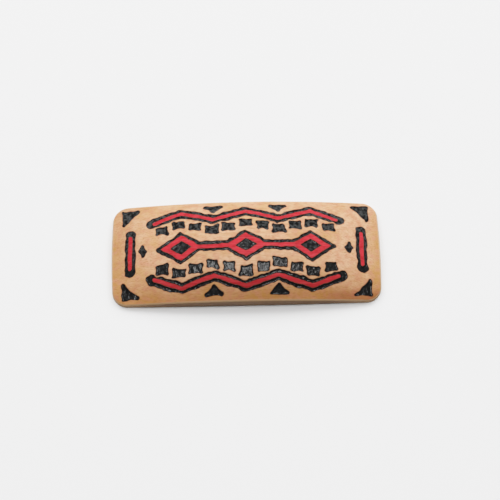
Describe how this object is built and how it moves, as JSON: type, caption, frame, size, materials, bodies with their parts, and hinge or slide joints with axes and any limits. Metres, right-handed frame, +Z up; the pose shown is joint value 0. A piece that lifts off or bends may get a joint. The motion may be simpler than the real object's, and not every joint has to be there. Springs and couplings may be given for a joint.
{
  "type": "wooden hair clip",
  "caption": "Domed, hollow-backed wooden hair clip with a carved black and red geometric ornament and a steel clasp.",
  "frame": {"origin": "centre of the plane that the plate's rim rests on", "axes": "+X along the plate towards the clasp's catch, +Y across it, +Z up out of its carved face"},
  "size_m": [0.1, 0.0404, 0.0104],
  "materials": {
    "wood": "pale oiled beech, with burnt black carving and red stain",
    "steel": "satin nickel"
  },
  "bodies": {
    "root": {"wood_plate": "wood", "hair_clasp": "steel"}
  },
  "joints": []
}
